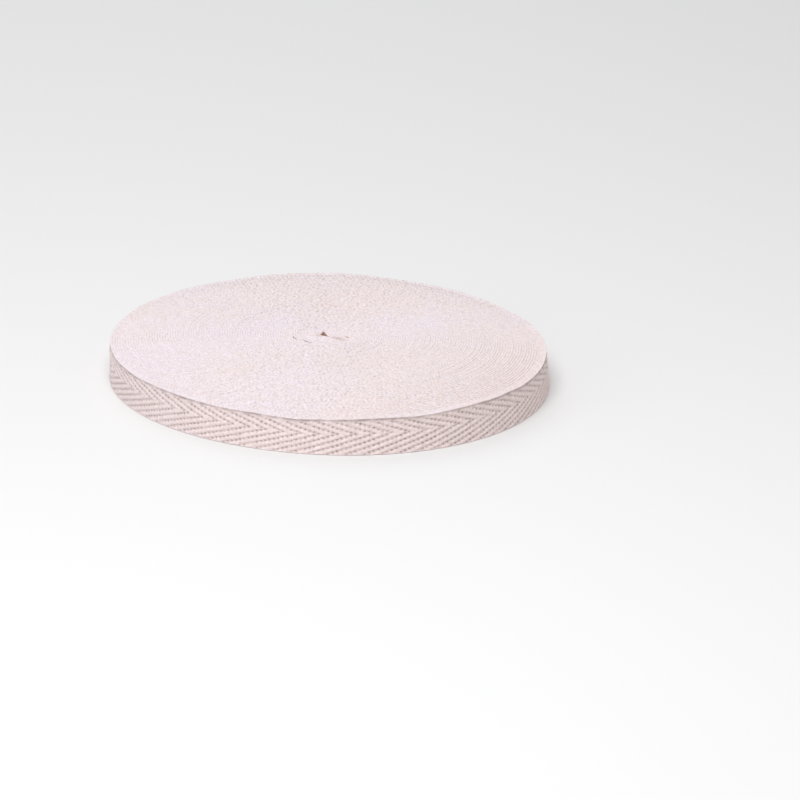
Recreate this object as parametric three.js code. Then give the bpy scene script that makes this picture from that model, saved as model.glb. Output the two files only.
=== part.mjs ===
import * as THREE from "three";

// A roll of cotton webbing in herringbone twill: one narrow strip wound tight and flat on its own start.
// Millimetres, +Z up. The roll lies on its outermost turns and the origin is under its middle.

// The webbing
const webbingWidth = 15;
const turnThickness = 1.09; // one turn as wound, a little squeezed
const selvedgeRound = 0.35; // how far the woven edge is rounded over
const selvedgeBead = 0.12; // the edge yarns stand this proud of the web
const lowerBead = 1.1; // width of the bead along the lower edge
const upperBead = 1.5;

// The herringbone: two stripes of slanting ribs that meet in points along one line
const ribPitchAlong = 7.2; // four picks of weft
const ribRelief = 0.3; // from a rib's crest to the groove beside it
const pointLine = 8.5; // height of the line where the two stripes meet
const ribProfile = [0.5, 0.5, -0.5]; // a rib's broad crest and the narrow groove after it
const ribSlide = 2; // points of that profile that the ribs slide along the webbing from level to level
const levelsBelowPoints = 5;
const levelsAbovePoints = 3;

// The roll
const rollDiameter = 178;
const flatTurns = 3; // the outermost turns stand level and carry the roll
const crownRise = 4.1; // the turns slide up by this much towards the middle
const crownPower = 6; // a high power keeps the middle level and rounds the shoulder
const lean = { mean: 0.6, swing: 0.7, towards: 0.2 }; // how much further out the foot of the outer turns is
const outerEndAngle = THREE.MathUtils.degToRad(30); // where the webbing is cut off, on the outermost turn
const outerEndFace = 0.25; // the cut face leans by this much along the band

// The fold of the webbing's start, in the middle of the roll
const foldMiddle = new THREE.Vector2(2, -2.6);
const foldAngle = THREE.MathUtils.degToRad(-28);
const foldHalfLength = 6;
const foldFade = 30; // radius over which the long inner turns grow round
const foldEndSharpness = 0.55; // smaller is a straighter side with a tighter bend at each end
const slitHalfWidth = 0.25;
const eyeAlong = -3.15; // the eye's place along the fold
const eyeHalfWidth = 1.3;
const eyeWidening = 0.25; // by each millimetre of winding radius
const eyeDepth = 4.6; // how far the eye reaches back from the slit
const eyeFade = 7; // radius over which the turns close round the eye
const pitDepth = 4; // how far down the slit and the eye are open

// Groups of turns that were wound tighter or looser stand a little above or below their neighbours.
const turnGroups = [
  { withinRadius: 63, lift: 0.2 },
  { withinRadius: 36, lift: -0.4 },
  { withinRadius: 13, lift: 0.12 },
];
const groupEdge = 0.4; // half of the step between two groups
const faceWave = { height: 0.22, lobes: 3, twist: 16, calmRadius: 25 };

// The roll is a little out of round.
const roundness = [
  { lobes: 1, depth: 1.63, turned: -0.57 },
  { lobes: 2, depth: 1.12, turned: 2.44 },
  { lobes: 3, depth: 0.55, turned: 2.38 },
  { lobes: 4, depth: 0.15, turned: -0.69 },
];

const rollRadius = rollDiameter / 2;
const circumference = Math.PI * rollDiameter;
const chevrons = Math.round(circumference / ribPitchAlong);
const bandColumns = ribProfile.length * chevrons;
const faceColumns = chevrons;
const flatRadius = rollRadius - flatTurns * turnThickness;
const fullTurn = 2 * Math.PI;
const shoulderStep = 4; // spacing of a face's outermost rings
const stepGrowth = 1.2; // each spacing is this much more than the one outside it
const foldRings = [9, 5.5, 3, 1.5]; // radii round the fold
const foldRingsBelow = [9, 3];

function outOfRound(angle) {
  return roundness.reduce((sum, wave) => sum + wave.depth * Math.cos(wave.lobes * angle + wave.turned), 0);
}

// The rise of the turns at a winding radius, the same for their upper and lower edges.
function turnRise(radius, angle) {
  if (radius >= flatRadius) {
    return 0;
  }
  const crown = crownRise * (1 - (radius / flatRadius) ** crownPower);
  const lifts = turnGroups.filter((group) => radius < group.withinRadius);
  const lift = lifts.reduce((sum, group) => sum + group.lift, 0);
  const wave = Math.sin(faceWave.lobes * angle + radius / faceWave.twist);
  const waveHeight = faceWave.height * Math.min(1, radius / faceWave.calmRadius);
  return crown + (lift + waveHeight * wave) * (crown / crownRise);
}

// A point in plan on the turn of that winding radius. Near the middle the turns are long loops round the
// fold, with a bulge behind the eye, and further out they grow round.
function turnPoint(radius, angle) {
  const local = angle - foldAngle;
  const side = Math.cos(local);
  const bend = (side * Math.hypot(1, foldEndSharpness)) / Math.hypot(side, foldEndSharpness);
  const share = radius / rollRadius;
  const foldShare = Math.exp(-radius / foldFade);
  const reach = radius + outOfRound(angle) * share;
  const along = reach * side + foldHalfLength * foldShare * bend;
  const across = reach * Math.sin(local);
  const plan = new THREE.Vector2(along, across)
    .rotateAround(new THREE.Vector2(), foldAngle)
    .addScaledVector(foldMiddle, foldShare);
  if (across > 0) {
    const fromEye = (along - eyeAlong) / (eyeHalfWidth + radius * eyeWidening);
    plan.y += eyeDepth * Math.exp(-fromEye * fromEye - radius / eyeFade);
  }
  return plan;
}

// How far the outer band stands out at a height, as the outer turns lean out at the foot on one side.
function leanOut(height, angle) {
  return (lean.mean + lean.swing * Math.cos(angle - lean.towards)) * (0.5 - height / webbingWidth);
}

// A level of the outer band, from the webbing's cut end once round to the same end, a thickness further out.
// The ribs slide back along it with each level away from the points.
function bandRing(height, outward, relief, levelsFromPoints) {
  return Array.from({ length: bandColumns }, (_, column) => {
    const turned = column / (bandColumns - 1);
    const angle = outerEndAngle + (outerEndFace + turned * (circumference - outerEndFace)) / rollRadius;
    const rib = relief * ribProfile[(column + ribSlide * levelsFromPoints) % ribProfile.length];
    const wound = rollRadius + turnThickness * (turned - 0.5);
    const radius = wound + leanOut(height, angle) + outward + rib;
    const plan = turnPoint(radius, angle);
    return new THREE.Vector3(plan.x, plan.y, height);
  });
}

// A ring on a face of the roll: on the lower edges of the turns or, a webbing's width up, on the upper ones.
function faceRing(radius, raised) {
  return Array.from({ length: faceColumns }, (_, column) => {
    const angle = outerEndAngle + (column / faceColumns) * fullTurn;
    const plan = turnPoint(radius, angle);
    return new THREE.Vector3(plan.x, plan.y, raised + turnRise(radius, angle));
  });
}

// Radii from the level turns inwards, closer together on the rounded shoulder.
function shoulderRadii(inner) {
  const radii = [];
  let step = shoulderStep;
  for (let radius = flatRadius; radius > inner; radius -= step) {
    radii.push(radius);
    step += stepGrowth;
  }
  return radii;
}

// The upper face also has two rings close together at the edge of each group of turns.
function upperRadii() {
  const edges = turnGroups.flatMap((group) => [
    group.withinRadius + groupEdge,
    group.withinRadius - groupEdge,
  ]);
  const clear = shoulderRadii(foldRings[0]).filter((radius) =>
    edges.every((edge) => Math.abs(radius - edge) > 2 * groupEdge),
  );
  return [...clear, ...edges, ...foldRings].sort((a, b) => b - a);
}

function lowerRadii() {
  return [...shoulderRadii(foldRingsBelow[0]), ...foldRingsBelow];
}

// The ribbed levels from the lower bead up to the upper one.
function ribbedRings() {
  const rings = [];
  for (let level = -levelsBelowPoints; level <= levelsAbovePoints; level += 1) {
    const rise = level < 0 ? pointLine - lowerBead : webbingWidth - upperBead - pointLine;
    const levels = level < 0 ? levelsBelowPoints : levelsAbovePoints;
    rings.push(bandRing(pointLine + (rise * level) / levels, 0, ribRelief, Math.abs(level)));
  }
  return rings;
}

// Joins two rings by a strip of triangles, from the webbing's cut end round to the same end and then over
// it. The ring after runs ahead by that many points, or behind, so that the strip's edges follow the ribs.
function joinRings(faces, ring, after, ahead) {
  const last = ring.count - 1;
  const lastAfter = after.count - 1;
  let here = 0;
  let there = 0;
  while (here < last || there < lastAfter) {
    const behind = (there + 0.5 - ahead) / after.count < (here + 0.5) / ring.count;
    if (here === last || (behind && there < lastAfter)) {
      faces.push(ring.start + here, after.start + there + 1, after.start + there);
      there += 1;
    } else {
      faces.push(ring.start + here, ring.start + here + 1, after.start + there);
      here += 1;
    }
  }
  faces.push(ring.start + last, ring.start, after.start + lastAfter);
  faces.push(ring.start, after.start, after.start + lastAfter);
}

// Joins rings into one closed skin. Rings run anticlockwise seen from above, from the middle of the
// underside outwards, up the band and back in over the upper face.
function skin(rings, aheadAt) {
  let start = 0;
  const spans = rings.map((points) => {
    const span = { start, count: points.length };
    start += points.length;
    return span;
  });
  const faces = [];
  spans.slice(1).forEach((after, index) => joinRings(faces, spans[index], after, aheadAt(index)));
  closeAcross(faces, spans[0], true);
  closeAcross(faces, spans[spans.length - 1], false);
  const geometry = new THREE.BufferGeometry().setFromPoints(rings.flat());
  geometry.setIndex(faces);
  geometry.computeVertexNormals();
  return geometry;
}

// Closes a long narrow ring with a ladder of triangles from one side to the other.
function closeAcross(faces, { start, count }, facingDown) {
  const add = (a, b, c) => faces.push(start + a, start + (facingDown ? c : b), start + (facingDown ? b : c));
  for (let near = 0; near + 1 <= count - near - 1; near += 1) {
    const far = (count - near) % count;
    const nextNear = near + 1;
    const nextFar = count - nextNear;
    if (nextNear < nextFar) {
      add(near, nextNear, nextFar);
    }
    if (far !== near) {
      add(near, nextFar, far);
    }
  }
}

function woundWebbing() {
  const under = lowerRadii()
    .reverse()
    .map((radius) => faceRing(radius, 0));
  const lowerEdge = [
    bandRing(0, -selvedgeRound, 0, 0),
    bandRing(selvedgeRound, selvedgeBead, 0, 0),
  ];
  const upperEdge = [
    bandRing(webbingWidth - selvedgeRound, selvedgeBead, 0, 0),
    bandRing(webbingWidth, -selvedgeRound, 0, 0),
  ];
  const over = upperRadii().map((radius) => faceRing(radius, webbingWidth));
  const slit = [
    faceRing(slitHalfWidth, webbingWidth),
    faceRing(slitHalfWidth, webbingWidth - pitDepth),
  ];
  const lowestRib = under.length + lowerEdge.length;
  const points = lowestRib + levelsBelowPoints;
  const highestRib = points + levelsAbovePoints;
  const aheadAt = (index) => {
    if (index < lowestRib || index >= highestRib) {
      return 0;
    }
    return index < points ? ribSlide : -ribSlide;
  };
  const rings = [...under, ...lowerEdge, ...ribbedRings(), ...upperEdge, ...over, ...slit];
  const geometry = skin(rings, aheadAt);
  geometry.computeBoundingBox();
  const middle = geometry.boundingBox.getCenter(new THREE.Vector3());
  return geometry.translate(-middle.x, -middle.y, 0);
}

const cotton = new THREE.MeshStandardMaterial({ color: 0xf1e6e4, roughness: 0.95, metalness: 0 });
cotton.name = "natural_cotton";

const webbing = new THREE.Mesh(woundWebbing(), cotton);
webbing.name = "wound_webbing";

const roll = new THREE.Group();
roll.name = "webbing_roll";
roll.add(webbing);

export default roll;
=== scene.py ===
import math

import bmesh
import bpy
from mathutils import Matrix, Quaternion, Vector


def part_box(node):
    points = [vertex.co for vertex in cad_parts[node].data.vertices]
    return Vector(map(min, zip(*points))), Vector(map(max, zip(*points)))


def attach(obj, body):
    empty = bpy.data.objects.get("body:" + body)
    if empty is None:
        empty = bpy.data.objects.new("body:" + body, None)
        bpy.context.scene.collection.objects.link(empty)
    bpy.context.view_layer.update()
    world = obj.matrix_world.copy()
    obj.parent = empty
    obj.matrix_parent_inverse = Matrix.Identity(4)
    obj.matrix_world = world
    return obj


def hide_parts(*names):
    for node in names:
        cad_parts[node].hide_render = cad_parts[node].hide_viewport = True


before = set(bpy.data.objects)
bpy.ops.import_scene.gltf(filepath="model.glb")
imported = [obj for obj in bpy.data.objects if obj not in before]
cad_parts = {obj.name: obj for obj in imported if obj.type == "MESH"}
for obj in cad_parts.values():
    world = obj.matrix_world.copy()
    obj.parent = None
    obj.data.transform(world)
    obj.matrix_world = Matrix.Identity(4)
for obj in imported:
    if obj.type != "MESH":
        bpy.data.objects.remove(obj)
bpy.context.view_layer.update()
mm = 0.001
fullTurn = 2 * math.pi

# Lengths are in millimetres and angles in degrees, unless a note says otherwise.
webbing = {
    "width": 15,
    "thickness": 1.09,  # one turn as wound
    "filled": 0.99,  # the cloth's share of that, the rest is air between the turns
    "edgeRound": 0.14,
    "edgeFlat": 0.7,  # the middle of the woven edge, as a share of the thickness
    "ends": 25,  # warp yarns side by side
    "pointEnd": 14,  # the ribs of the two stripes meet on this one, counted from the lower edge
    "picksPerRib": 4,
    "pick": 1.8,  # from one weft yarn to the next
    "ribRelief": 0.25,
    "valleyWidth": 0.95,  # in picks
    "valleyAt": 0.6875,  # of a rib, from the cut end
    "dipWidth": 0.34,  # in picks, where a warp yarn dives under the weft
    "dipHeight": 0.8,  # in warp yarns
    "dipDepth": 0.3,
    "yarnGroove": 0.07,
    "ribsStart": (0, 0.6),  # above the lower edge
    "ribsEnd": (0.9, 1.9),  # below the upper one
    "lowerBead": {"height": 0.4, "halfHeight": 0.5, "depth": 0.1},  # the edge yarns stand proud
    "underRim": [  # pressed in, with a painted shadow line in the cloth there: how far below the upper edge, half height, depth
        (0.7, 0.5, 0.26),
        (1.2, 1.2, 0.09),
    ],
}

roll = {
    "radius": 89,
    "flatTurns": 3,
    "crownRise": 4.1,
    "crownPower": 6,
    "lean": 0.6,  # the outer turns are wider at the foot by this
    "leanSwing": 0.7,  # and by this much more on one side
    "leanTowards": 0.2,  # in radians
    "leanPower": 12,
    "outerEnd": 30,
    "turnGroups": [  # radius, and how far the turns within it are lifted
        (63, 0.2),
        (36.4, -0.22),
        (33.2, -0.18),
        (13, 0.12),
    ],
    "groupEdge": 0.05,  # half of the step between two groups
    "faceWave": {"height": 0.22, "lobes": 3, "twist": 16, "calmRadius": 25},
    "outOfRound": [  # lobes, depth, turned by so many radians
        (1, 1.63, -0.57),
        (2, 1.12, 2.44),
        (3, 0.55, 2.38),
        (4, 0.15, -0.69),
    ],
    "edgeWander": {"length": 70, "height": 0.16, "fullAt": 0.25},  # at this share of the crown's rise
    "rimWave": {"length": 26, "height": 1.7, "power": 8, "onFace": 0.25},  # shared by neighbouring turns
    "edgeWave": {"length": 6, "height": 0.07, "seed": 83},  # each turn's own
    "edgeLean": {"length": 7, "depth": 0.14, "seed": 57},
    "rimSag": {"angle": 261, "spread": 7, "depth": 0.8},
    "loops": {  # of weft, along the edges
        "height": 0.24,
        "most": 1.6,  # the highest, as a share of that
        "uneven": 1.4,
        "length": 2.3,  # over which they differ
        "seed": 31,
    },
}

fold = {
    "middle": (2, -2.6),
    "angle": -28,
    "halfLength": 6,
    "fade": 30,
    "endSharpness": 0.55,
    "closeUp": 0.28,  # the first turns are pressed together by this
    "closeUpFade": 3,
    "eyeAlong": -3.15,
    "eyeHalfWidth": 1.3,
    "eyeWidening": 0.25,  # by each millimetre of winding radius
    "eyeDepth": 4.6,  # straight back, not across the fold
    "eyeFade": 7,
    "gaps": [  # radius, angle from the fold, spread, width
        (11.58, 233, 12, 0.9),
        (10.57, 255, 5, 1.6),
        (3.44, 61, 8, 1.2),
    ],
    "gapEdge": 0.05,  # half of the radius over which a gap opens
    "gapFade": 5,
    # painted shade: darker warm patches in the shallow hollows round the fold
    "foldShades": [  # x, y, angle, half length, half width, strength
        (3.3, -5.2, -38, 2.7, 1.2, 0.55),
        (-5, -2.4, -5, 2, 0.8, 0.4),
    ],
}

totalTurns = roll["radius"] / webbing["thickness"]
ribsRound = round(fullTurn * roll["radius"] / (webbing["pick"] * webbing["picksPerRib"]))
picksRound = ribsRound * webbing["picksPerRib"]
# What the long loops round the fold add to the strip
foldLength = 4 * fold["halfLength"] * fold["fade"] / webbing["thickness"]


# An output socket. Python's operators on it add Math nodes to its tree.
class Wire:
    def __init__(self, net, socket):
        self.net = net
        self.socket = socket

    def __add__(self, other):
        return self.net.maths("ADD", self, other)

    def __radd__(self, other):
        return self.net.maths("ADD", other, self)

    def __sub__(self, other):
        return self.net.maths("SUBTRACT", self, other)

    def __rsub__(self, other):
        return self.net.maths("SUBTRACT", other, self)

    def __mul__(self, other):
        return self.net.maths("MULTIPLY", self, other)

    def __rmul__(self, other):
        return self.net.maths("MULTIPLY", other, self)

    def __truediv__(self, other):
        return self.net.maths("DIVIDE", self, other)

    def __rtruediv__(self, other):
        return self.net.maths("DIVIDE", other, self)

    def __pow__(self, other):
        return self.net.maths("POWER", self, other)

    def __neg__(self):
        return self.net.maths("MULTIPLY", self, -1)


# A node tree, of a material or of Geometry Nodes.
class Net:
    def __init__(self, tree):
        self.tree = tree
        tree.nodes.clear()

    def node(self, kind, settings=None, values=None):
        made = self.tree.nodes.new(kind)
        for name, setting in (settings or {}).items():
            if name == "items":
                while len(made.index_switch_items) < setting:
                    made.index_switch_items.new()
            else:
                setattr(made, name, setting)
        for name, value in (values or {}).items():
            if isinstance(value, Wire):
                self.tree.links.new(value.socket, made.inputs[name])
            else:
                made.inputs[name].default_value = value
        return made

    def wire(self, kind, settings=None, values=None, output=0):
        return Wire(self, self.node(kind, settings, values).outputs[output])

    def maths(self, operation, *items):
        return self.wire("ShaderNodeMath", {"operation": operation}, dict(enumerate(items)))

    def clamp(self, value, low=0, high=1):
        return self.maths("MINIMUM", self.maths("MAXIMUM", value, low), high)

    def smooth(self, value, start, end):
        span = {"Value": value, "From Min": start, "From Max": end}
        return self.wire("ShaderNodeMapRange", {"interpolation_type": "SMOOTHSTEP"}, span)

    # 1 at nought, falling to both sides.
    def bell(self, value, halfWidth):
        return self.maths("EXPONENT", -((value / halfWidth) ** 2))

    # The same round a circle, for an angle in radians and a spread in degrees.
    def window(self, angle, spread):
        fall = 1 - math.cos(math.radians(spread))
        return self.maths("EXPONENT", (1 - self.maths("COSINE", angle)) / -fall)

    def joined(self, x, y, z):
        return self.wire("ShaderNodeCombineXYZ", None, {0: x, 1: y, 2: z})

    # A colour between two, by a factor from 0 to 1.
    def mixed(self, factor, first, second):
        return self.wire("ShaderNodeMix", {"data_type": "RGBA"}, {0: factor, 6: first, 7: second}, 2)

    # Smooth noise along a line, from -1 to 1.
    def wander(self, place, seed):
        values = {"W": place + seed, "Scale": 1, "Detail": 1}
        return self.wire("ShaderNodeTexNoise", {"noise_dimensions": "1D"}, values) * 2 - 1


# How high the turns stand at a winding radius, by their upper and lower edges alike.
def turnRise(net, radius, angle, along, seed):
    flatRadius = roll["radius"] - roll["flatTurns"] * webbing["thickness"]
    wave = roll["faceWave"]
    crown = net.maths("MAXIMUM", 1 - (radius / flatRadius) ** roll["crownPower"], 0)
    lifted = net.maths("SINE", angle * wave["lobes"] + radius / wave["twist"]) * wave["height"]
    lifted = lifted * net.maths("MINIMUM", radius / wave["calmRadius"], 1)
    step = roll["groupEdge"]
    for withinRadius, lift in roll["turnGroups"]:
        lifted = lifted + lift * (1 - net.smooth(radius, withinRadius - step, withinRadius + step))
    wander = roll["edgeWander"]
    slid = net.wander(along / wander["length"], seed) * wander["height"]
    slid = slid * net.maths("MINIMUM", crown / wander["fullAt"], 1)
    return crown * (roll["crownRise"] + lifted) + slid


# The place in plan of a point on the turn of that winding radius.
def turnPlan(net, radius, angle, middle):
    local = angle - math.radians(fold["angle"])
    pressed = radius - fold["closeUp"] * net.maths("EXPONENT", radius / -fold["closeUpFade"])
    share = pressed / roll["radius"]
    foldShare = net.maths("EXPONENT", pressed / -fold["fade"])
    side = net.maths("COSINE", local)
    sharpness = fold["endSharpness"]
    bend = side * math.hypot(1, sharpness) / (side * side + sharpness**2) ** 0.5
    uneven = 0
    for lobes, depth, turned in roll["outOfRound"]:
        uneven = uneven + net.maths("COSINE", angle * lobes + turned) * depth
    reach = pressed + uneven * share
    edge = fold["gapEdge"]
    for gapRadius, gapAngle, spread, width in fold["gaps"]:
        window = net.window(local - math.radians(gapAngle), spread)
        outside = net.smooth(middle, gapRadius - edge, gapRadius + edge)
        fading = net.maths("EXPONENT", (middle - gapRadius) / -fold["gapFade"])
        reach = reach + window * outside * fading * width
    along = reach * side + foldShare * bend * fold["halfLength"]
    across = reach * net.maths("SINE", local)
    fromEye = (along - fold["eyeAlong"]) / (fold["eyeHalfWidth"] + pressed * fold["eyeWidening"])
    bulge = net.maths("EXPONENT", -(fromEye * fromEye) - pressed / fold["eyeFade"]) * fold["eyeDepth"]
    bulge = bulge * net.maths("GREATER_THAN", net.maths("SINE", local), 0)
    turned = math.radians(fold["angle"])
    x = along * math.cos(turned) - across * math.sin(turned) + foldShare * fold["middle"][0]
    y = along * math.sin(turned) + across * math.cos(turned) + foldShare * fold["middle"][1]
    return x, y + bulge


# The weave at a place on the webbing's outer face: how far it is ribbed, how far down between two ribs,
# how near to where a warp yarn dives under the weft, how deep it is pressed in under the rim, and how near
# to the groove between two warp yarns. All but the depth go from 0 to 1.
def weaveAt(net, height, picks):
    levelHeight = (webbing["width"] - 2 * webbing["edgeRound"]) / (2 * webbing["ends"])
    level = (height - webbing["edgeRound"]) / levelHeight
    end = (level - 1) / 2
    fromPoint = net.maths("ABSOLUTE", end - webbing["pointEnd"])

    def picksFromValley(atPick):  # from -2 to 2
        ribs = (atPick + fromPoint) / webbing["picksPerRib"] - webbing["valleyAt"]
        return (net.maths("FRACT", ribs + 0.5) - 0.5) * webbing["picksPerRib"]

    onYarn = 0.5 - net.maths("COSINE", level * math.pi) * 0.5
    under = webbing["width"] - height
    woven = net.smooth(under, *webbing["ribsEnd"]) * net.smooth(height, *webbing["ribsStart"])
    valley = net.bell(picksFromValley(picks), webbing["valleyWidth"]) * woven
    firstDip = webbing["valleyAt"] * webbing["picksPerRib"] % 1
    dipPick = net.maths("ROUND", picks - firstDip) + firstDip
    dip = net.bell(picks - dipPick, webbing["dipWidth"]) * woven
    dip = dip * net.bell(picksFromValley(dipPick), webbing["dipHeight"])
    rim = 0
    for down, halfHeight, depth in webbing["underRim"]:
        rim = rim + net.bell(under - down, halfHeight) * depth
    return woven, valley, dip, rim, (1 - onYarn) * woven


# How far the outer face stands out there.
def reliefAt(net, height, picks):
    woven, valley, dip, rim, groove = weaveAt(net, height, picks)
    relief = (woven * 0.5 - valley) * webbing["ribRelief"] - dip * webbing["dipDepth"]
    relief = relief - groove * webbing["yarnGroove"] - rim
    bead = webbing["lowerBead"]
    return relief + net.bell(height - bead["height"], bead["halfHeight"]) * bead["depth"]


# Winds a stretch of the webbing, as a tube of many steps whose section is the webbing's own.
def windingTree():
    dark = {"sides": (0.6, 1), "loops": 0.3}  # shaded by the cloth: towards both sides, and on the loops
    tree = bpy.data.node_groups.new("winding", "GeometryNodeTree")
    net = Net(tree)
    sockets = {
        "Steps": "NodeSocketInt",
        "Steps per Pick": "NodeSocketFloat",
        "First Turn": "NodeSocketFloat",
        "Last Turn": "NodeSocketFloat",
        "Spacing": "NodeSocketFloat",  # 1 for steps of equal angles, 2 for equal lengths of webbing
        "Levels": "NodeSocketInt",  # points up the outer face
        "Weave": "NodeSocketFloat",
        "Seed": "NodeSocketInt",
        "Cloth": "NodeSocketMaterial",
    }
    for name, kind in sockets.items():
        tree.interface.new_socket(name=name, in_out="INPUT", socket_type=kind)
    tree.interface.new_socket(name="Geometry", in_out="OUTPUT", socket_type="NodeSocketGeometry")
    group = net.node("NodeGroupInput")
    given = {name: Wire(net, group.outputs[name]) for name in sockets}

    # The section goes up the outer face, over the upper edge, down the inner face and under the lower one.
    # These are its corners past the outer face, by how far out they are, from -1 to 1, and how high.
    top = webbing["width"]
    roundFrom = webbing["edgeRound"]
    flat = webbing["edgeFlat"]
    levels = given["Levels"]
    corners = [
        (flat, top),
        (-flat, top),
        (-1, top - roundFrom),
        (-1, roundFrom),
        (-flat, 0),
        (flat, 0),
    ]

    # The step along the webbing and the place round its section, from the point's number
    index = net.wire("GeometryNodeInputIndex")
    section = levels + len(corners)
    step = net.maths("FLOOR", index / section)
    place = index - step * section
    share = step / (given["Steps"] - 1)
    spacing = given["Spacing"]
    first = given["First Turn"] ** spacing
    turns = (first + (given["Last Turn"] ** spacing - first) * share) ** (1 / spacing)
    angle = (turns - totalTurns) * fullTurn + math.radians(roll["outerEnd"])
    middle = turns * webbing["thickness"]
    foldedIn = 1 - net.maths("EXPONENT", middle / -fold["fade"])
    along = turns * turns * (math.pi * webbing["thickness"]) + foldedIn * foldLength

    # Where the point is in the section
    level = net.maths("MINIMUM", place, levels - 1)
    past = net.maths("MAXIMUM", place - (levels - 1), 0)
    faceHeight = roundFrom + (top - 2 * roundFrom) * (level / (levels - 1))
    places = [(1, faceHeight), *corners]
    side, height = (
        net.wire(
            "GeometryNodeIndexSwitch",
            {"data_type": "FLOAT", "items": len(places)},
            {0: past, **dict(enumerate(items, 1))},
        )
        for items in zip(*places)
    )

    # What the yarns do to it
    seed = given["Seed"]
    picks = (turns - (totalTurns - 1)) * picksRound
    outside = net.maths("LESS_THAN", past, 0.5) * given["Weave"]
    relief = reliefAt(net, height, picks) * outside
    onEdge = net.maths("LESS_THAN", net.maths("ABSOLUTE", side), (1 + flat) / 2)
    loops = roll["loops"]
    uneven = net.wander(along / loops["length"], seed + loops["seed"]) * loops["uneven"]
    loop = net.maths("COSINE", step / given["Steps per Pick"] * fullTurn) * 0.5 + 0.5
    loop = net.clamp(loop * (1 + uneven), 0, loops["most"]) * onEdge
    share = net.maths("MINIMUM", middle / roll["radius"], 1)
    leanHere = net.maths("COSINE", angle - roll["leanTowards"]) * roll["leanSwing"] + roll["lean"]
    leanHere = (0.5 - height / top) * leanHere * share ** roll["leanPower"]
    radius = middle + side * (webbing["thickness"] * webbing["filled"] / 2) + leanHere + relief
    edgeLean = roll["edgeLean"]
    leaning = net.wander(along / edgeLean["length"], seed + edgeLean["seed"])
    radius = radius + leaning * onEdge * edgeLean["depth"]

    # Its place in the roll
    x, y = turnPlan(net, radius, angle, middle)
    rise = turnRise(net, middle, angle, along, seed)
    upward = height / top
    rim = roll["rimWave"]
    plan = {"Vector": net.joined(x / rim["length"], y / rim["length"], seed), "Scale": 1, "Detail": 1}
    wave = (net.wire("ShaderNodeTexNoise", None, plan) - 0.5) * rim["height"]
    sag = roll["rimSag"]
    sagged = net.window(angle - math.radians(sag["angle"]), sag["spread"]) * sag["depth"]
    wave = wave * (share ** rim["power"] * (1 - rim["onFace"]) + rim["onFace"])
    wave = wave - sagged * share ** rim["power"]
    own = roll["edgeWave"]
    wave = wave + net.wander(along / own["length"], seed + own["seed"]) * own["height"]
    z = height + rise + wave * upward + loop * loops["height"] * (1 - upward * 2)
    scaled = {0: net.joined(x, y, z), "Scale": mm}
    position = net.wire("ShaderNodeVectorMath", {"operation": "SCALE"}, scaled)
    depth = net.smooth(net.maths("ABSOLUTE", side), *dark["sides"]) * (1 - outside) + loop * dark["loops"]

    # The tube that takes those places
    counted = {"Curve": net.wire("GeometryNodeCurvePrimitiveLine"), "Count": given["Steps"]}
    line = net.wire("GeometryNodeResampleCurve", {"mode": "COUNT"}, counted)
    ring = net.wire("GeometryNodeCurvePrimitiveCircle", {"mode": "RADIUS"}, {"Resolution": section})
    tube = {"Curve": line, "Profile Curve": ring, "Fill Caps": True}
    geometry = net.wire("GeometryNodeCurveToMesh", None, tube)
    geometry = net.wire("GeometryNodeSetPosition", None, {"Geometry": geometry, "Position": position})
    stored = {
        "weave": ("FLOAT_VECTOR", net.joined(along, height, side)),
        "picks": ("FLOAT", picks),
        "depth": ("FLOAT", depth),
    }
    for name, (kind, value) in stored.items():
        settings = {"data_type": kind, "domain": "POINT"}
        values = {"Geometry": geometry, "Name": name, "Value": value}
        geometry = net.wire("GeometryNodeStoreNamedAttribute", settings, values)
    geometry = net.wire("GeometryNodeFlipFaces", None, {"Mesh": geometry})
    geometry = net.wire("GeometryNodeSetShadeSmooth", None, {"Geometry": geometry})
    geometry = net.wire("GeometryNodeRealizeInstances", None, {"Geometry": geometry})
    finished = {"Geometry": geometry, "Material": given["Cloth"]}
    geometry = net.wire("GeometryNodeSetMaterial", None, finished)
    net.node("NodeGroupOutput", None, {"Geometry": geometry})
    return tree
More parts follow.
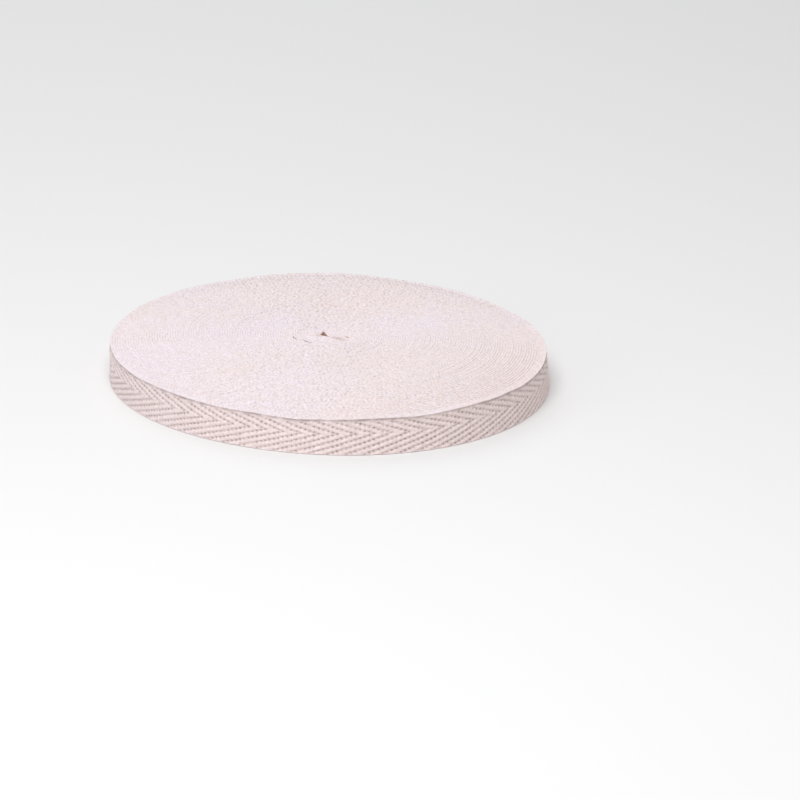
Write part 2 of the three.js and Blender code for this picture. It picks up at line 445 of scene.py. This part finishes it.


# Cotton in its natural colour: yarns with fibres, a slow change of tint and a few specks of seed husk,
# with painted shade between the yarns, ribs and turns, in the slits at the fold and under the rim, and a
# painted warm bounce on the outermost face.
def cottonCloth():
    look = {
        "light": (0.885, 0.825, 0.89, 1),
        "warm": (0.885, 0.8, 0.805, 1),
        "outer": (0.93, 0.818, 0.815, 1),  # the outermost turn's face, painted warmer to stand in for warm bounce light
        # painted shade: the colour of the hollows between yarns, picks, ribs and turns
        "hollow": (0.5, 0.34, 0.28, 1),
        "dusk": (0.31, 0.235, 0.225, 1),  # painted shade in the small hollows of the weave, in the shadow line under the rim and in the slits between turns
        "deep": (0.42, 0.25, 0.18, 1),  # painted shade deep in the slits at the fold
        "speck": (0.42, 0.3, 0.2, 1),
        "tints": {"slow": 0.45, "streaks": 0.25, "mottle": 0.3},  # how the noises mix light and warm
        "tintSpan": (0.4, 0.6),
        "edgeShade": 0.14,  # between two turns
        "valleyShade": 0.1,  # between two ribs
        "pickShade": 0.09,  # between two picks
        "grooveShade": 0.05,  # between two warp yarns
        "dipShade": 0.82,  # where a warp yarn dives
        "dipSpan": (0.3, 0.6),  # of the noise that leaves some of those out
        "rimShade": 1.7,
        "rimUneven": 0.9,
        "rimLeast": 0.55,
        "gapShade": 0.9,  # deep between two turns
        "gapSpan": (0.1, 0.55),  # from the edge
        "gapCalm": 3,  # away from the fold the shade starts further in
        "gapCalmSpan": (300, 1500),  # along the webbing
        "foldSpan": (150, 450),  # along the webbing, from the fold's slits to the others
        "faceSpan": (0.88, 0.98),  # the outer face, by how far out it is
        "innerSpan": (0.85, 0.95),  # both faces of the turns within
        "yarnSway": 0.3,
        "pickSway": 0.5,  # in picks
        "loopContrast": 0.17,
        "yarnContrast": 0.2,
        # dark flecks of fibre grain, partly painted shade between the loops
        "woolContrast": 0.22,
        "woolSpan": (0.35, 0.65),
        "speckSpan": (0.79, 0.83),
        "speckStrength": 0.5,
        "woolBump": 0.05,
        "fibreBump": 0.035,
        "loopBump": 0.1,
        "dipBump": 0.1,
        "roughness": (0.86, 0.12),  # the least, and what the fibres add
        "specular": 0.2,
        "sheen": 0.1,
        "sheenRoughness": 0.6,
        "usual": (0.3, 0.7),  # what a noise mostly spans
        "outermost": -10,  # the outermost turn starts past this, in picks
    }
    inSpace = {  # scale for each metre, detail, roughness
        "slow": (18, 2, 0.5),
        "mottle": (240, 2, 0.6),
        "specks": (420, 1, 0.5),
        "wool": (900, 2, 0.6),
        "fibres": (2600, 3, 0.6),
    }
    onCloth = {  # scale for each millimetre, detail, and shares of it along, up and through the webbing
        "streaks": (1.1, 3, (0.12, 1, 1)),
        "loops": (0.9, 2, (1, 0, 0.4)),
        "yarns": (1, 2, (0.6, 1.6, 0)),
        "patches": (1, 2, (0.22, 0.3, 0)),
    }
    material = bpy.data.materials.new("natural_cotton")
    material.use_nodes = True
    net = Net(material.node_tree)
    weave = net.wire("ShaderNodeAttribute", {"attribute_name": "weave"}, None, "Vector")
    picks = net.wire("ShaderNodeAttribute", {"attribute_name": "picks"}, None, "Fac")
    depth = net.wire("ShaderNodeAttribute", {"attribute_name": "depth"}, None, "Fac")
    place = net.wire("ShaderNodeTexCoord", None, None, "Object")
    parts = net.node("ShaderNodeSeparateXYZ", None, {0: weave})
    along, height, side = (Wire(net, parts.outputs[name]) for name in "XYZ")
    noise = {}
    for name, (scale, detail, roughness) in inSpace.items():
        values = {"Vector": place, "Scale": scale, "Detail": detail, "Roughness": roughness}
        noise[name] = net.wire("ShaderNodeTexNoise", None, values)
    for name, (scale, detail, shares) in onCloth.items():
        stretched = net.wire("ShaderNodeMapping", None, {"Vector": weave, "Scale": shares})
        values = {"Vector": stretched, "Scale": scale, "Detail": detail}
        noise[name] = net.wire("ShaderNodeTexNoise", None, values)

    # Painted shade: how much of the light is lost between the yarns, picks, ribs and turns and on the
    # loops, with some tone that differs at random from yarn to yarn and loop to loop
    swayed = height + (noise["yarns"] - 0.5) * look["yarnSway"]
    shifted = picks + (noise["loops"] - 0.5) * look["pickSway"]
    valley, dip, rim, groove = weaveAt(net, swayed, shifted)[1:]
    isOutermost = net.maths("GREATER_THAN", picks, look["outermost"])
    onFace = net.smooth(side, *look["faceSpan"]) * isOutermost
    dip = dip * net.smooth(noise["yarns"] * 0.5 + noise["patches"] * 0.5, *look["dipSpan"])
    rim = rim * (net.smooth(noise["patches"], *look["usual"]) * look["rimUneven"] + look["rimLeast"])
    between = (0.5 - net.maths("COSINE", picks * (2 * fullTurn)) * 0.5) * look["pickShade"]
    shade = valley * look["valleyShade"] + groove * look["grooveShade"] + between
    shade = shade + net.smooth(noise["yarns"], *look["usual"]) * look["yarnContrast"]
    lost = net.smooth(noise["loops"], *look["usual"]) * look["loopContrast"] + depth * look["edgeShade"]
    lost = net.clamp(shade * onFace + lost * (1 - onFace))
    # painted shade in the dips where a warp yarn dives, and a painted shadow line under the rim
    dusky = net.clamp((dip * look["dipShade"] + rim * look["rimShade"]) * onFace)

    # And painted shade deep between the turns
    fromEdge = net.maths("MINIMUM", height, webbing["width"] - height)
    fromEdge = fromEdge / (1 + net.smooth(along, *look["gapCalmSpan"]) * look["gapCalm"])
    inside = net.smooth(net.maths("ABSOLUTE", side), *look["innerSpan"]) * (1 - isOutermost)
    gap = net.smooth(fromEdge, *look["gapSpan"]) * inside * look["gapShade"]

    # Painted shade at the fold, by its places on the face
    spots = net.node("ShaderNodeSeparateXYZ", None, {0: place})
    placeX, placeY = (Wire(net, spots.outputs[name]) / mm for name in "XY")
    foldShade = 0
    for x, y, angle, halfLength, halfWidth, strength in fold["foldShades"]:
        turned = math.radians(angle)
        lengthwise = (placeX - x) * math.cos(turned) + (placeY - y) * math.sin(turned)
        crosswise = (placeY - y) * math.cos(turned) - (placeX - x) * math.sin(turned)
        foldShade = foldShade + net.bell(lengthwise, halfLength) * net.bell(crosswise, halfWidth) * strength

    tint = sum(noise[name] * weight for name, weight in look["tints"].items())
    # fibre grain, partly painted shade between the loops
    wool = net.smooth(noise["wool"], *look["woolSpan"]) * look["woolContrast"]
    specks = net.smooth(noise["specks"], *look["speckSpan"]) * look["speckStrength"]
    # painted shade in the slits: brown at the fold, greyer further out
    slit = net.mixed(net.smooth(along, *look["foldSpan"]), look["deep"], look["dusk"])
    colour = net.mixed(net.smooth(tint, *look["tintSpan"]), look["light"], look["warm"])
    # painted warm bounce light: the outermost turn's face takes a warmer copy of the cotton's colour
    colour = net.mixed(onFace, colour, look["outer"])
    # painted shade in the weave's hollows and between the turns
    colour = net.mixed(lost, colour, look["hollow"])
    # painted shade at the fold, and fibre grain that is partly painted shade between the loops
    colour = net.mixed(wool + foldShade, colour, look["hollow"])
    colour = net.mixed(dusky, colour, look["dusk"])
    colour = net.mixed(gap, colour, slit)
    colour = net.mixed(specks, colour, look["speck"])
    bumps = noise["wool"] * look["woolBump"] + noise["fibres"] * look["fibreBump"]
    bumps = bumps + noise["loops"] * (1 - onFace) * look["loopBump"] - dip * onFace * look["dipBump"]
    leastRough, rougher = look["roughness"]
    surface = {
        "Base Color": colour,
        "Roughness": leastRough + noise["fibres"] * rougher,
        "Normal": net.wire("ShaderNodeBump", None, {"Strength": 1, "Distance": mm, "Height": bumps}),
        "Specular IOR Level": look["specular"],
        "Sheen Weight": look["sheen"],
        "Sheen Roughness": look["sheenRoughness"],
    }
    cotton = net.wire("ShaderNodeBsdfPrincipled", None, surface)
    net.node("ShaderNodeOutputMaterial", None, {"Surface": cotton})
    return material


# A piece of the winding, as a plain mesh with closed, sharp ends.
def windPiece(name, tree, sizes):
    piece = bpy.data.objects.new(name, bpy.data.meshes.new(name))
    bpy.context.scene.collection.objects.link(piece)
    modifier = piece.modifiers.new("Winding", "NODES")
    modifier.node_group = tree
    for socket in tree.interface.items_tree:
        if socket.in_out == "INPUT":
            modifier[socket.identifier] = sizes[socket.name]
    depsgraph = bpy.context.evaluated_depsgraph_get()
    made = bpy.data.meshes.new_from_object(piece.evaluated_get(depsgraph), depsgraph=depsgraph)
    piece.modifiers.remove(modifier)
    piece.data = made
    made.name = name
    work = bmesh.new()
    work.from_mesh(made)
    for face in work.faces:
        if len(face.verts) > 4:  # an end
            for edge in face.edges:
                edge.smooth = False
    print(f"{name}: {len(work.faces)} faces, {work.calc_volume(signed=True) * 1e6:.1f} cm3")
    work.to_mesh(made)
    work.free()
    return piece


# The whole strip, in stretches that follow each other from the fold to the cut end.
def windRoll(cloth):
    stretches = {
        "foldedTurns": 6,
        "foldedStart": 0.3,
        "foldedStepsPerTurn": 150,
        "foldedStepsPerPick": 4,
        "stepsPerPick": 2,
        "outerStepsPerPick": 4,
        "hiddenPicks": 8,  # of the outermost turn, under its own cut end
        "seed": 7,
    }
    names = ["inner_turns", "middle_turns", "outer_turns"]
    tree = windingTree()
    hidden = stretches["hiddenPicks"] / picksRound
    lastInside = totalTurns - 1 - hidden
    plain = {"Spacing": 2.0, "Levels": 2, "Weave": 0.0, "Seed": stretches["seed"], "Cloth": cloth}
    folded = stretches["foldedTurns"]
    pieces = [
        windPiece(
            "folded_turns",
            tree,
            {
                **plain,
                "Steps": round((folded - stretches["foldedStart"]) * stretches["foldedStepsPerTurn"]),
                "Steps per Pick": float(stretches["foldedStepsPerPick"]),
                "First Turn": stretches["foldedStart"],
                "Last Turn": float(folded),
                "Spacing": 1.0,
            },
        )
    ]
    span = (lastInside**2 - folded**2) / len(names)
    length = math.pi * webbing["thickness"] * span
    for number, name in enumerate(names):
        ends = [math.sqrt(folded**2 + span * (number + extra)) for extra in (0, 1)]
        sizes = {
            **plain,
            "Steps": 2 * round(length / webbing["pick"] * stretches["stepsPerPick"] / 2) + 1,
            "Steps per Pick": float(stretches["stepsPerPick"]),
            "First Turn": ends[0],
            "Last Turn": ends[1],
        }
        pieces.append(windPiece(name, tree, sizes))
    outerSteps = (picksRound + stretches["hiddenPicks"]) * stretches["outerStepsPerPick"] + 1
    outermost = {
        **plain,
        "Steps": outerSteps,
        "Steps per Pick": float(stretches["outerStepsPerPick"]),
        "First Turn": lastInside,
        "Last Turn": totalTurns,
        "Spacing": 1.0,
        "Levels": 2 * webbing["ends"] + 1,  # one on each warp yarn and one between
        "Weave": 1.0,
    }
    pieces.append(windPiece("outermost_turn", tree, outermost))
    return pieces


# Moves the pieces together so that they stand where the CAD roll stands.
def settle(pieces):
    low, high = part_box("wound_webbing")
    points = [vertex.co for piece in pieces for vertex in piece.data.vertices]
    found = [[pick(point[axis] for point in points) for axis in range(3)] for pick in (min, max)]
    shift = Vector((low[axis] + high[axis] - found[0][axis] - found[1][axis]) / 2 for axis in range(3))
    shift.z = low.z - found[0][2]
    for piece in pieces:
        for vertex in piece.data.vertices:
            vertex.co += shift
        piece.data.update()


def makeFloor():
    stage = {
        "halfSize": 12,  # metres
        "colour": (0.8, 0.8, 0.8, 1),
        "roughness": 0.9,
        "specular": 0.1,
    }
    half = stage["halfSize"]
    mesh = bpy.data.meshes.new("floor")
    corners = [(-half, -half, 0), (half, -half, 0), (half, half, 0), (-half, half, 0)]
    mesh.from_pydata(corners, [], [(0, 1, 2, 3)])
    floor = bpy.data.objects.new("floor", mesh)
    bpy.context.scene.collection.objects.link(floor)
    material = bpy.data.materials.new("pale_floor")
    material.use_nodes = True
    net = Net(material.node_tree)
    surface = {
        "Base Color": stage["colour"],
        "Roughness": stage["roughness"],
        "Specular IOR Level": stage["specular"],
    }
    paint = net.wire("ShaderNodeBsdfPrincipled", None, surface)
    net.node("ShaderNodeOutputMaterial", None, {"Surface": paint})
    mesh.materials.append(material)


def makeLights():
    studio = {
        "world": (1, 1, 1, 1),
        "worldStrength": 0.54,
        "softboxes": [  # name, place and size in metres, watts, colour
            ("key", (-0.14, -0.56, 0.9), 0.7, 6.7, (1, 0.993, 0.995)),
            ("back", (-0.25, 0.9, 1.05), 1, 3.7, (0.98, 0.98, 1)),
            ("fill", (-1.2, -0.9, 0.35), 0.8, 2.6, (0.72, 0.84, 1)),
        ],
    }
    world = bpy.data.worlds.new("studio")
    world.use_nodes = True
    net = Net(world.node_tree)
    values = {"Color": studio["world"], "Strength": studio["worldStrength"]}
    net.node("ShaderNodeOutputWorld", None, {"Surface": net.wire("ShaderNodeBackground", None, values)})
    bpy.context.scene.world = world
    for name, place, size, watts, colour in studio["softboxes"]:
        lamp = bpy.data.lights.new(name, "AREA")
        lamp.shape = "DISK"
        lamp.size = size
        lamp.energy = watts
        lamp.color = colour
        light = bpy.data.objects.new(name, lamp)
        light.location = place
        light.rotation_mode = "QUATERNION"
        light.rotation_quaternion = (-Vector(place)).to_track_quat("-Z", "Y")
        bpy.context.scene.collection.objects.link(light)


def makeCamera():
    shot = {
        "distance": 2.2,  # metres, from the middle of the upper rim
        "elevation": 19.15,
        "frameWidth": 324,  # what the frame takes in at the roll
        "framePixels": 800,
        "rimMiddle": (329.9, 343.1),  # where the middle of the upper rim lies in the frame, in pixels
        "tilt": 1.15,  # the right side of the roll is the lower one
        "clipEnd": 40,  # metres
    }
    low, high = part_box("wound_webbing")
    rim = Vector(((low.x + high.x) / 2, (low.y + high.y) / 2, webbing["width"] * mm))
    rise = math.radians(shot["elevation"])
    ahead = Vector((0, math.cos(rise), -math.sin(rise)))
    data = bpy.data.cameras.new("camera")
    data.lens = data.sensor_width * shot["distance"] / (shot["frameWidth"] * mm)
    pixelsDeep = shot["framePixels"] * data.lens / data.sensor_width
    half = shot["framePixels"] / 2
    toRim = Vector((shot["rimMiddle"][0] - half, half - shot["rimMiddle"][1], -pixelsDeep))
    camera = bpy.data.objects.new("camera", data)
    camera.location = rim - ahead * shot["distance"]
    camera.rotation_mode = "QUATERNION"
    level = ahead.to_track_quat("-Z", "Y") @ Quaternion((0, 0, 1), math.radians(shot["tilt"]))
    camera.rotation_quaternion = level @ toRim.rotation_difference(Vector((0, 0, -1)))
    data.clip_end = shot["clipEnd"]
    bpy.context.scene.collection.objects.link(camera)
    bpy.context.scene.camera = camera


makeCamera()
print("camera placed")
pieces = windRoll(cottonCloth())
settle(pieces)
for piece in pieces:
    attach(piece, "root")
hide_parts("wound_webbing")
print("roll wound")
makeFloor()
makeLights()
bpy.context.scene.view_settings.view_transform = "Standard"
print("studio lit")
